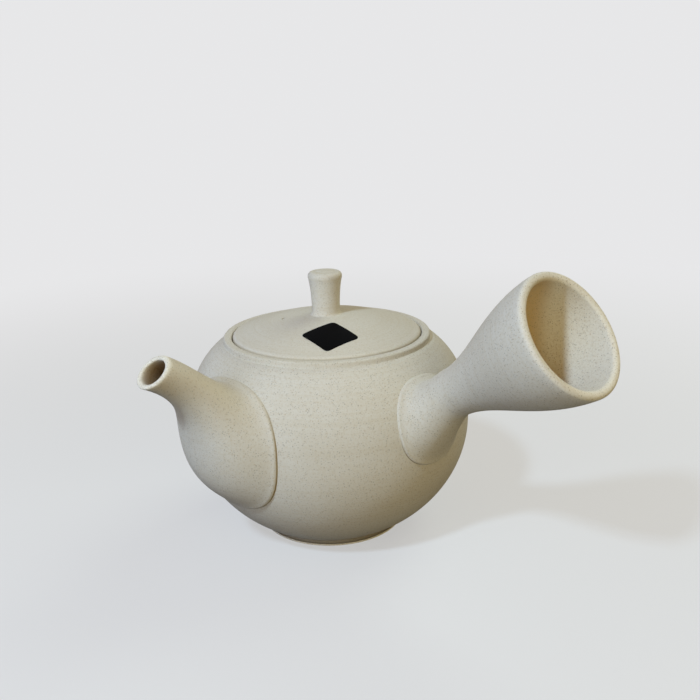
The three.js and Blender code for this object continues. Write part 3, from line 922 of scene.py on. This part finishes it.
def stoneware(
    name, clay, warm=None, pale=None, shade=None, seam=None, bore=None, axis=None, grain=1.0,
):
    """Unglazed stoneware: cream clay with clouds, specks, grains and faint turning lines.

    Warm, pale, shade and seam take the finish and a point and give where the clay fired warm,
    was wiped, stayed dull, or has slip on it. Bore gives how much a horn's inside differs and
    its colour there. Axis is the place and tilt of the axis on which the piece was turned,
    where it isn't Z. Grain is how much the specks show.
    """
    finish = Finish(bpy.data.materials.new(name))
    place = finish.place()
    turned_place = place
    if axis:
        location, rotation = axis
        turned_place = finish.node("ShaderNodeMapping", {"vector_type": "TEXTURE"}, {
            "Vector": place, "Location": location, "Rotation": rotation,
        })
    radius, height = finish.radius_and_height(turned_place)
    round_the_axis = finish.node("ShaderNodeCombineXYZ", {}, {"X": radius, "Z": height})
    clouds = finish.noise(place, **CLOUDS)
    sand = finish.noise(place, **SAND)
    lines = finish.noise(round_the_axis, **TURNING_LINES)
    fine = finish.grains(place, **FINE_SPECKS)
    dots = finish.grains(place, **DOTS)
    ochre = finish.grains(place, **OCHRE_GRAINS)

    base = finish.mix(clouds.ramp(*CLOUD_RAMP) * clay.cloud_share, clay.pale, clay.cream)
    base = finish.mix(lines.ramp(*LINE_RAMP) * clay.line_share, base, clay.tan)
    # Tan clay; on the spout's neck it is partly painted shade.
    if warm:
        drift = (clouds - 0.5) * CLOUD_DRIFT
        base = finish.mix((warm(finish, place) + drift).clamped(), base, clay.tan)
    # Wiped rims, and painted light on the foot's lip and inside the bell.
    if pale:
        base = finish.mix(pale(finish, place), base, clay.rim)
    # Painted shade inside a horn's bore.
    if bore:
        share, inner_colour = bore(finish, place)
        base = finish.mix(finish.inside() * share, base, inner_colour)
    base = finish.mix(((sand - SAND_START) * SAND_GAIN).clamped(), base, clay.tan)
    base = finish.mix(ochre * (clay.ochre_share * grain), base, clay.ochre)
    base = finish.mix(fine * (clay.fine_share * grain), base, clay.speck)
    base = finish.mix(dots * (clay.dot_share * grain), base, clay.speck)
    # Painted shade, such as in the cove above the foot.
    if shade:
        base = finish.mix(shade(finish, place), base, clay.shade)
    # Slip, with painted crease shade or painted gap shade.
    if seam:
        base = finish.mix(seam(finish, place), base, clay.slip)
    roughness = (sand - 0.5) * SAND_ROUGHNESS + clay.roughness - dots * DOT_GLOSS
    relief = sand * SAND_RELIEF + lines * LINE_RELIEF - fine * SPECK_PITS
    return finish.surface(base, roughness, relief, clay.relief, clay.specular)


def stands_out(finish, place, pot):
    """How far a point stands out of the pot's form, and its height."""
    radius, height = finish.radius_and_height(place)
    rise = height - pot.belly_height
    above = rise.maths("GREATER_THAN", 0)
    size = rise.maths("ABSOLUTE")

    def form(upper):
        depth, power = pot_form(pot, upper)
        left = 1 - (size * (1 / depth)).clamped().maths("POWER", power)
        return left.maths("POWER", 1 / power) * pot.belly_radius

    low = form(upper=False)
    return radius - (low + (form(upper=True) - low) * above), height


def luted_slip_and_shade(pot, joint, bare, full):
    """Slip where a luted piece meets the pot: none at the height bare and most at full."""
    def seam(finish, place):
        out, height = stands_out(finish, place, pot)
        return (1 - out.ramp(joint.slip_and_shade_low, joint.slip_and_shade_high)) * height.ramp(bare, full)

    return seam


def finish_piece(obj, name, body, nodes, material):
    """Names a finished piece, smooths it, dresses it and hands it to its body."""
    focus(obj)
    bpy.ops.object.shade_smooth_by_angle(angle=SMOOTH_ANGLE)
    obj.name = name
    obj.data.name = name
    obj.data.materials.clear()
    obj.data.materials.append(material)
    obj.vertex_groups.clear()
    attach(obj, body)
    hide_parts(*nodes)
    deselect()


# Operators

class TEAPOT_OT_pot(bpy.types.Operator):
    """Throw the pot's shell and cut the passage to the spout"""

    bl_idname = "teapot.pot"
    bl_label = "Pot"
    bl_options = {"REGISTER", "UNDO"}

    def execute(self, context):
        teapot = context.scene.teapot
        pot, strainer = teapot.pot, teapot.strainer
        seat = Seat(pot, teapot.lid)
        shell = turned("shell", self.profile(pot, seat), pot.steps)
        height = pot.belly_height + strainer.passage_rise
        reach = pot_radius(pot, height)
        cut(shell, bar(
            strainer.passage_radius, 2 * strainer.passage_radius, strainer.steps,
            location=(0, -reach, height), rotation=(math.pi / 2, 0, 0),
        ))
        clay = teapot.clay

        def height_in_lips(finish, place):
            return finish.radius_and_height(place)[1] * (1 / pot.foot_lip)

        # The foot's lip in the wiped rims' colour, which also paints a highlight on it.
        def pale(finish, place):
            return height_in_lips(finish, place).ramp(*LIP_HIGHLIGHT_RAMP)

        # Painted shade in the cove above the foot, darkest just above the lip.
        def cove(finish, place):
            lips = height_in_lips(finish, place)
            return lips.ramp(*COVE_SHADE_RAMP) * lips.ramp(*COVE_SHADE_FADE) * clay.cove_shade_share

        def warm(finish, place):
            out, _ = stands_out(finish, place, pot)
            return out.ramp(-clay.inner_start, -clay.inner_full) * clay.inner_warmth

        finish_piece(
            shell, "pot_shell", "pot", ["pot_body"],
            stoneware("stoneware", clay, warm=warm, pale=pale, shade=cove),
        )
        return {"FINISHED"}

    @staticmethod
    def profile(pot, seat):
        """The shell's outline from the foot, over the collar and seat, and down the inside."""
        cove = pot.foot_radius - pot.foot_cove
        cove_top = pot_height(pot, cove, above=False)
        lip = pot.foot_lip / 2
        edge = pot.collar_round
        groove = pot.groove
        inner_low = pot_height(
            pot, INNER_TURN * pot.belly_radius, above=False, inset=pot.wall,
        )
        inner_radius = pot_radius(pot, inner_low, pot.wall)

        def ripple(point):
            radius, height = point
            return (radius + pot.ripple * math.sin(math.tau * height / pot.ripple_pitch), height)

        return [
            (0, 0),
            *along(6, lambda t: (mixed(*FLAT_SPAN, t) * (pot.foot_radius - lip), 0)),
            *corner(pot.foot_radius - lip, lip, lip, -90, 90)[:-1],
            *bent((pot.foot_radius - lip, 2 * lip), (cove, 2 * lip), (cove, cove_top), steps=6),
            *pot_curve(pot, cove_top, pot.belly_height, steps=48)[1:],
            *pot_curve(pot, pot.belly_height, seat.shoulder, steps=40)[1:-1],
            (pot.collar_radius + groove, seat.shoulder),
            *corner(pot.collar_radius + groove, seat.shoulder + groove, groove, 270, 180),
            *corner(pot.collar_radius - edge, seat.collar - edge, edge, 0, 90),
            *corner(seat.recess + edge, seat.collar - edge, edge, 90, 180),
            *corner(seat.recess - groove, seat.top + groove, groove, 0, -90),
            *corner(seat.opening + groove, seat.top - groove, groove, 90, 180),
            *corner(seat.opening + groove, seat.under + groove, groove, 180, 270),
            *map(ripple, pot_curve(pot, seat.under, inner_low, steps=90, inset=pot.wall)[1:]),
            *bent(
                ripple((inner_radius, inner_low)), (inner_radius * FLOOR_PULL, pot.floor),
                (pot.belly_radius * FLOOR_FLAT, pot.floor), steps=24,
            )[1:],
            (pot.belly_radius * FLOOR_FLAT / 2, pot.floor),
            (0, pot.floor),
        ]


class TEAPOT_OT_strainer(bpy.types.Operator):
    """Form the domed strainer over the passage and pierce its holes"""

    bl_idname = "teapot.strainer"
    bl_label = "Strainer"
    bl_options = {"REGISTER", "UNDO"}

    def execute(self, context):
        teapot = context.scene.teapot
        pot, size = teapot.pot, teapot.strainer
        height = pot.belly_height + size.passage_rise
        wall_radius = pot_radius(pot, height, pot.wall)
        base_reach = math.sqrt(wall_radius ** 2 - size.base_radius ** 2)
        centre_reach = base_reach + math.sqrt(size.radius ** 2 - size.base_radius ** 2)
        centre = Vector((0, -centre_reach, height))
        deselect()
        bpy.ops.mesh.primitive_uv_sphere_add(
            segments=size.steps, ring_count=2 * size.steps // 3, radius=size.radius,
            location=centre, rotation=(math.pi / 2, 0, 0),
        )
        dome = apply_place()
        dome.name = "dome"
        edit(dome)
        bpy.ops.mesh.bisect(
            plane_co=(0, -base_reach - size.sink, height), plane_no=(0, 1, 0), clear_inner=True,
        )
        deselect()
        use_modifier(dome, "SOLIDIFY", thickness=size.wall, offset=-1)
        cut(dome, self.pins(size, centre))
        cut(dome, turned("inside", self.inside(pot, size), steps=160), "INTERSECT")
        clay = teapot.clay
        finish_piece(
            dome, "strainer_dome", "pot", ["strainer"],
            stoneware("stoneware strainer", clay, warm=lambda finish, place: clay.inner_warmth),
        )
        return {"FINISHED"}

    @staticmethod
    def inside(pot, size):
        """The pot's inner form, let a little into its wall."""
        inset = pot.wall - size.sink
        top = pot.belly_height + INNER_FORM_TOP * pot.shoulder_depth
        return [(0, pot.floor), *pot_curve(pot, pot.floor, top, steps=60, inset=inset), (0, top)]

    @staticmethod
    def pins(size, centre):
        """The pins that pierce the holes, ring by ring round the middle one."""
        turn = size.hole_pitch / size.radius
        made = []
        for ring in range(size.rings + 1):
            copies = max(1, size.holes_per_ring * ring)
            for i in range(copies):
                way = Matrix.Rotation(math.tau * i / copies, 3, "Y")
                way @= Matrix.Rotation(ring * turn, 3, "X")
                place = centre + way @ Vector((0, size.radius, 0))
                rotation = (way @ Matrix.Rotation(math.pi / 2, 3, "X")).to_euler()
                pin = bar(size.hole_radius, 4 * size.wall, size.hole_sides, place, rotation)
                made.append(pin)
        deselect()
        for pin in made:
            pin.select_set(True)
        bpy.context.view_layer.objects.active = made[0]
        bpy.ops.object.join()
        return bpy.context.object


class TEAPOT_OT_spout(bpy.types.Operator):
    """Form the spout and lute it onto the belly"""

    bl_idname = "teapot.spout"
    bl_label = "Spout"
    bl_options = {"REGISTER", "UNDO"}

    def execute(self, context):
        teapot = context.scene.teapot
        pot, size, joint = teapot.pot, teapot.spout, teapot.joint
        horn = luted_horn(
            self.sections(pot, size, joint), size.sides, (size.root_wall, size.wall),
            size.mouth_round, pot, joint,
        )
        focus(horn)
        horn.rotation_euler = (0, 0, -math.pi / 2)
        apply_place()
        mouth_height = pot.belly_height + size.mouth_rise
        axis = Vector((0, -math.cos(size.mouth_tilt), math.sin(size.mouth_tilt)))
        mouth = Vector((0, -size.mouth_reach, mouth_height)).dot(axis)

        def height_at(share):
            return mixed(pot.belly_height, mouth_height, share)

        # Tan towards the mouth: partly the clay's own tone, partly painted shade on the neck.
        def warm(finish, place):
            height = finish.radius_and_height(place)[1]
            return height.ramp(height_at(size.tan_and_shade_start), height_at(size.tan_and_shade_full)) * size.tan_and_shade

        def pale(finish, place):
            near = finish.reach(place, axis).ramp(mouth - size.rim_start, mouth - size.rim_full)
            return near * size.rim_share

        # Painted shade deep inside the spout's bore.
        def bore(finish, place):
            deep = finish.reach(place, axis).ramp(mouth, mouth - size.bore_shade_full)
            return deep * size.bore_shade_share, teapot.clay.brown

        finish_piece(horn, "spout_horn", "pot", ["spout"], stoneware(
            "stoneware spout", teapot.clay, warm=warm, pale=pale, bore=bore,
            # Slip with painted crease shade at the root, darkest low down.
            seam=luted_slip_and_shade(
                pot, joint, bare=height_at(size.slip_and_shade_bare), full=height_at(size.slip_and_shade_full),
            ),
        ))
        return {"FINISHED"}

    @staticmethod
    def sections(pot, size, joint):
        """Cross-sections that swell from the belly and narrow up to a tilted mouth."""
        def lifted(pull_point):
            return Vector((pull_point[0], pot.belly_height + pull_point[1]))

        slant = Vector((-math.sin(size.mouth_tilt), math.cos(size.mouth_tilt)))
        rise = slant * size.mouth_radius
        mouth = Vector((size.mouth_reach, pot.belly_height + size.mouth_rise))
        return clinging_sections(
            size.rings,
            upper=(
                root_point(pot, joint, size.root_rise),
                lifted(size.throat_low), lifted(size.throat_high), mouth + rise,
            ),
            lower=(
                root_point(pot, joint, -size.root_drop),
                lifted(size.belly_low), lifted(size.belly_high), mouth - rise,
            ),
            widths=(size.root_half_width, size.flank_low, size.flank_high, size.mouth_radius),
        )


class TEAPOT_OT_handle(bpy.types.Operator):
    """Form the hollow handle and lute it onto the belly"""

    bl_idname = "teapot.handle"
    bl_label = "Handle"
    bl_options = {"REGISTER", "UNDO"}

    def execute(self, context):
        teapot = context.scene.teapot
        pot, size, joint = teapot.pot, teapot.handle, teapot.joint
        horn = luted_horn(
            self.sections(pot, size, joint), size.sides, (size.wall, size.mouth_wall),
            size.mouth_round, pot, joint,
        )
        axis = Vector((math.cos(size.tilt), 0, math.sin(size.tilt)))
        start = Vector((size.axis_reach, 0, pot.belly_height + size.axis_rise))
        mouth = start.dot(axis) + size.mouth_place
        bell_shadow_way = Vector((math.cos(size.bell_shadow_way), math.sin(size.bell_shadow_way), 0))

        # Where the inside of the bell is on its lit side, which is painted lighter; the rest is
        # painted shade.
        def bell_lit_side(finish, place):
            near, far = size.bell_shadow_end - size.bell_shadow_fade, size.bell_shadow_end + size.bell_shadow_fade
            return finish.reach(place, bell_shadow_way).ramp(near, far)

        # The wiped rim, and painted light on the lit side inside the bell.
        def pale(finish, place):
            rim = finish.reach(place, axis).ramp(mouth - size.rim_start, mouth - size.rim_full)
            bare = finish.inside() * bell_lit_side(finish, place)
            return (rim * size.rim_share + bare).clamped()

        # Painted shade: tan on the shaded side inside the bell.
        def bore(finish, place):
            edge, full = mouth - size.bell_shadow_start, mouth - size.bell_shadow_full
            deep = finish.reach(place, axis).ramp(edge, full)
            return (1 - bell_lit_side(finish, place)) * deep * size.bell_shadow_share, teapot.clay.bell_shadow_tan

        middle = pot.belly_height + size.root_rise / 2
        finish_piece(horn, "handle_horn", "pot", ["side_handle"], stoneware(
            "stoneware handle", teapot.clay, pale=pale, bore=bore,
            axis=(tuple(start), (0, math.pi / 2 - size.tilt, 0)),
            # Slip with painted crease shade at the root, darkest low down.
            seam=luted_slip_and_shade(pot, joint, bare=middle, full=pot.belly_height),
        ))
        return {"FINISHED"}

    @staticmethod
    def sections(pot, size, joint):
        """Cross-sections of a flared root, a narrow neck and an open bell."""
        axis = Vector((math.cos(size.tilt), math.sin(size.tilt)))
        across = Vector((-axis.y, axis.x))
        start = Vector((size.axis_reach, pot.belly_height + size.axis_rise))

        def edge(place, radius):
            return start + axis * place + across * radius

        neck = size.neck_radius
        pulled = size.neck_place - size.neck_pull
        top = root_point(pot, joint, size.root_rise)
        bottom = root_point(pot, joint, -size.root_drop)
        made = clinging_sections(
            size.rings,
            upper=(
                top, top + Vector((size.root_pull, -size.root_dip)),
                edge(pulled, neck), edge(size.neck_place, neck),
            ),
            lower=(
                bottom, bottom + Vector((size.root_pull, size.root_pull)),
                edge(pulled, -neck), edge(size.neck_place, -neck),
            ),
            widths=(size.root_half_width, (size.root_half_width + neck) / 2, neck, neck),
        )
        reach = size.mouth_place - size.neck_place
        rise = size.mouth_radius - neck

        def flared(shares):
            return Vector((size.neck_place + reach * shares[0], neck + rise * shares[1]))

        pulls = ((0, 0), size.flare_low, size.flare_high, (1, 1))
        flare = interpolate_bezier(*map(flared, pulls), size.rings + 1)
        for i, (place, radius) in enumerate(flare[1:], 1):
            cant = radius * math.tan(size.mouth_cant) * i / size.rings
            made.append(Section(edge(place - cant, radius), edge(place + cant, -radius), radius))
        return made


class TEAPOT_OT_lid(bpy.types.Operator):
    """Turn the lid with its flange and pierce its steam hole"""

    bl_idname = "teapot.lid"
    bl_label = "Lid"
    bl_options = {"REGISTER", "UNDO"}

    def execute(self, context):
        teapot = context.scene.teapot
        size = teapot.lid
        seat = Seat(teapot.pot, size)
        lid = turned("lid form", self.profile(size, seat), size.steps)
        place = around(size.hole_angle, size.hole_reach, seat.lid_top)
        cut(lid, bar(size.hole_radius, 4 * size.thickness, size.hole_sides, place))

        # Painted shade of the gap between the lid and the collar, along the lid's edge.
        def line(finish, place):
            radius, _ = finish.radius_and_height(place)
            near = radius.ramp(size.radius - size.line, size.radius - size.gap_shade_full)
            return near * size.line_share

        finish_piece(
            lid, "lid_dome", "lid", ["lid"],
            stoneware("stoneware lid", teapot.clay, seam=line, grain=size.grain),
        )
        return {"FINISHED"}

    @staticmethod
    def profile(size, seat):
        """The lid's outline from under its middle, round the flange and over the dome."""
        flange = seat.opening - size.flange_clearance
        bore = flange - size.flange_wall
        foot = seat.lid_rest - size.flange_depth
        edge = size.flange_round
        dome_edge = size.radius - size.edge_round
        edge_height = seat.dome(dome_edge)
        bore_top = seat.dome(bore, -size.thickness)
        return [
            *seat.dome_curve(0, bore - 2 * edge, steps=24, lift=-size.thickness),
            *bent(
                (bore - 2 * edge, seat.dome(bore - 2 * edge, -size.thickness)),
                (bore, bore_top), (bore, bore_top - 2 * edge), steps=6,
            )[1:],
            *corner(bore + edge, foot + edge, edge, 180, 270),
            *corner(flange - edge, foot + edge, edge, 270, 360),
            (flange, seat.lid_rest),
            *corner(size.radius - edge / 2, seat.lid_rest + edge / 2, edge / 2, 270, 360),
            *corner(dome_edge, edge_height - size.edge_round, size.edge_round, 0, 86, steps=8),
            *seat.dome_curve(dome_edge - edge / 2, 0, steps=40),
        ]


class TEAPOT_OT_knob(bpy.types.Operator):
    """Turn the knob on the lid"""

    bl_idname = "teapot.knob"
    bl_label = "Knob"
    bl_options = {"REGISTER", "UNDO"}

    def execute(self, context):
        teapot = context.scene.teapot
        size = teapot.knob
        seat = Seat(teapot.pot, teapot.lid)
        knob = turned("knob form", self.profile(size, seat), size.steps)
        finish_piece(
            knob, "knob_spool", "lid", ["lid_knob"],
            stoneware("stoneware knob", teapot.clay, grain=size.grain),
        )
        return {"FINISHED"}

    @staticmethod
    def profile(size, seat):
        """A filleted foot, a waisted stem and a rounded head with a soft ring in its top."""
        foot = seat.dome(size.foot_radius)
        fillet_top = foot + size.fillet
        top = seat.lid_top + size.height
        flank = top - size.head_height
        neck = flank - size.head_height
        stem = interpolate_bezier(
            Vector((size.stem_radius, fillet_top)),
            Vector((size.stem_radius, (fillet_top + neck) / 2)),
            Vector((size.stem_radius + size.stem_swell, neck)),
            Vector((size.head_radius, flank)), size.stem_steps + 1,
        )
        crown_radius = size.head_radius - size.head_round
        ring = crown_radius - size.lip_width
        shoulder = top - size.crown - size.head_round

        def crown(t):
            radius = crown_radius * (1 - t)
            dip = size.lip * math.exp(-((radius - ring) / size.lip_width) ** 2)
            return (radius, top - size.crown * (radius / crown_radius) ** 2 - dip)

        return [
            *seat.dome_curve(0, size.foot_radius, steps=8, lift=-size.sink),
            *bent(
                (size.foot_radius, foot), (size.stem_radius, foot),
                (size.stem_radius, fillet_top), steps=10,
            ),
            *(tuple(p) for p in stem[1:]),
            *corner(crown_radius, shoulder, size.head_round, 0, 90, steps=12),
            *along(24, crown)[1:],
        ]


class TEAPOT_OT_label(bpy.types.Operator):
    """Lay the plain paper label on the lid"""

    bl_idname = "teapot.label"
    bl_label = "Label"
    bl_options = {"REGISTER", "UNDO"}

    def execute(self, context):
        teapot = context.scene.teapot
        size, lid = teapot.label, teapot.lid
        seat = Seat(teapot.pot, lid)
        place = around(size.direction, size.reach, seat.collar)
        deselect()
        bpy.ops.mesh.primitive_plane_add(
            size=size.side, location=place, rotation=(0, 0, size.turn),
        )
        label = apply_place()
        edit(label)
        bpy.ops.mesh.bevel(offset=size.corner, segments=8, affect="VERTICES")
        select_mesh()
        up = (0, 0, 2 * lid.crown)
        bpy.ops.mesh.extrude_region_move(TRANSFORM_OT_translate={"value": up})
        select_mesh()
        bpy.ops.mesh.normals_make_consistent(inside=False)
        edge = size.reach + size.side
        cut(label, turned("sheet", [
            *seat.dome_curve(0, edge, steps=60, lift=size.paste),
            *seat.dome_curve(edge, 0, steps=60, lift=size.thickness),
        ], size.steps), "INTERSECT")
        finish_piece(label, "label_sheet", "lid", ["label"], self.paper(size))
        return {"FINISHED"}

    @staticmethod
    def paper(size):
        """Coated black paper with a faint tooth."""
        finish = Finish(bpy.data.materials.new("label paper"))
        place = finish.place()
        tooth = finish.noise(place, **PAPER_TOOTH)
        haze = finish.noise(place, **PAPER_HAZE)
        base = finish.mix(haze * size.haze_share, size.face, size.haze)
        roughness = (tooth - 0.5) * TOOTH_ROUGHNESS + (haze - 0.5) * HAZE_ROUGHNESS + size.roughness
        return finish.surface(base, roughness, tooth, size.relief, size.specular)


class TEAPOT_OT_stage(bpy.types.Operator):
    """Set the floor, the lamps and the camera"""

    bl_idname = "teapot.stage"
    bl_label = "Stage"
    bl_options = {"REGISTER", "UNDO"}

    def execute(self, context):
        stage = context.scene.teapot.stage
        self.floor(stage)
        self.sky(context.scene, stage)
        for name in LAMPS:
            self.lamp(name, getattr(context.scene.teapot, name), stage)
        self.camera(context.scene, stage)
        context.scene.view_settings.view_transform = "Standard"
        return {"FINISHED"}

    @staticmethod
    def floor(stage):
        """A wide plain floor that fades into the backdrop."""
        deselect()
        bpy.ops.mesh.primitive_circle_add(
            vertices=96, radius=stage.floor_radius, fill_type="NGON",
        )
        floor = apply_place()
        floor.name = "floor"
        finish = Finish(bpy.data.materials.new("plain floor"))
        settings = {"operation": "LENGTH"}
        away = finish.node("ShaderNodeVectorMath", settings, {0: finish.place()}, "Value")
        lit = finish.colour_shader("BsdfDiffuse", stage.floor)
        glow = finish.colour_shader("Emission", stage.floor_glow)
        bounce = finish.colour_shader("BsdfDiffuse", stage.floor_bounce)
        far = finish.colour_shader("Emission", stage.backdrop)
        shown = finish.blend(stage.floor_share, lit, glow)
        shown = finish.blend(away.ramp(stage.fade_start, stage.fade_end), shown, far)
        camera_ray = finish.node("ShaderNodeLightPath", {}, {}, "Is Camera Ray")
        finish.show(finish.blend(camera_ray, bounce, shown))
        floor.data.materials.append(finish.owner)
        floor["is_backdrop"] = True

    @staticmethod
    def sky(scene, stage):
        """An even sky that shows as the backdrop."""
        scene.world = scene.world or bpy.data.worlds.new("sky")
        finish = Finish(scene.world)
        light = finish.node("ShaderNodeBackground", {}, {
            "Color": rgba(stage.sky_colour), "Strength": stage.sky,
        })
        shown = finish.colour_shader("Background", stage.backdrop)
        camera_ray = finish.node("ShaderNodeLightPath", {}, {}, "Is Camera Ray")
        glossy_ray = finish.output_of(camera_ray, "Is Glossy Ray")
        finish.show(finish.blend(camera_ray.maths("MAXIMUM", glossy_ray), light, shown), "World")

    @staticmethod
    def lamp(name, lamp, stage):
        """A square lamp that faces the pot, placed from the camera's direction."""
        deselect()
        way = stage.azimuth + lamp.turn
        back = Vector((math.sin(way), -math.cos(way), 0)) * math.cos(lamp.elevation)
        back.z = math.sin(lamp.elevation)
        target = Vector((0, 0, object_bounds()[1].z / 2))
        bpy.ops.object.light_add(
            type="AREA", location=target + back * stage.lamp_distance,
            rotation=back.to_track_quat("Z", "Y").to_euler(),
        )
        light = bpy.context.object
        light.name = name
        light.data.energy = lamp.power
        light.data.size = lamp.width
        light.data.color = lamp.colour

    @staticmethod
    def camera(scene, stage):
        """The camera at the photograph's viewing angle."""
        deselect()
        turn = (
            Matrix.Rotation(stage.azimuth + stage.pan, 3, "Z")
            @ Matrix.Rotation(math.pi / 2 - stage.tilt, 3, "X")
            @ Matrix.Rotation(stage.roll, 3, "Z")
        )
        place = around(stage.azimuth - math.pi / 2, stage.distance, stage.height)
        bpy.ops.object.camera_add(location=place, rotation=turn.to_euler())
        camera = bpy.context.object
        camera.data.sensor_width = SENSOR_WIDTH
        camera.data.lens = stage.lens / MM
        scene.camera = camera


class TEAPOT_PT_sidebar(bpy.types.Panel):
    """The teapot's operators and settings"""

    bl_idname = "TEAPOT_PT_sidebar"
    bl_label = "Side-handled teapot"
    bl_space_type = "VIEW_3D"
    bl_region_type = "UI"
    bl_category = "Teapot"

    def draw(self, context):
        teapot = context.scene.teapot
        for operator, groups in STEPS:
            box = self.layout.box()
            box.operator(operator.bl_idname)
            for group in groups:
                settings = getattr(teapot, group)
                for name in settings.bl_rna.properties.keys():
                    if name not in ("rna_type", "name"):
                        box.prop(settings, name)


STEPS = [
    (TEAPOT_OT_pot, ("pot", "clay")),
    (TEAPOT_OT_strainer, ("strainer",)),
    (TEAPOT_OT_spout, ("spout", "joint")),
    (TEAPOT_OT_handle, ("handle",)),
    (TEAPOT_OT_lid, ("lid",)),
    (TEAPOT_OT_knob, ("knob",)),
    (TEAPOT_OT_label, ("label",)),
    (TEAPOT_OT_stage, ("stage", *LAMPS)),
]

CLASSES = [
    PotSettings, LidSettings, KnobSettings, LabelSettings, SpoutSettings, HandleSettings,
    StrainerSettings, JointSettings, ClaySettings, StageSettings, *LAMPS.values(), TeapotSettings,
    *(operator for operator, _ in STEPS), TEAPOT_PT_sidebar,
]


def register():
    """Registers the classes and the scene's settings."""
    for item in CLASSES:
        bpy.utils.register_class(item)
    bpy.types.Scene.teapot = PointerProperty(type=TeapotSettings)


def unregister():
    """Removes the scene's settings and the classes."""
    del bpy.types.Scene.teapot
    for item in reversed(CLASSES):
        bpy.utils.unregister_class(item)


def main():
    """Makes the teapot and its stage, and writes the sizes of the frame and of the dressed pot."""
    register()
    for operator, _ in STEPS:
        group, name = operator.bl_idname.split(".")
        getattr(getattr(bpy.ops, group), name)()


if __name__ == "__main__":
    main()
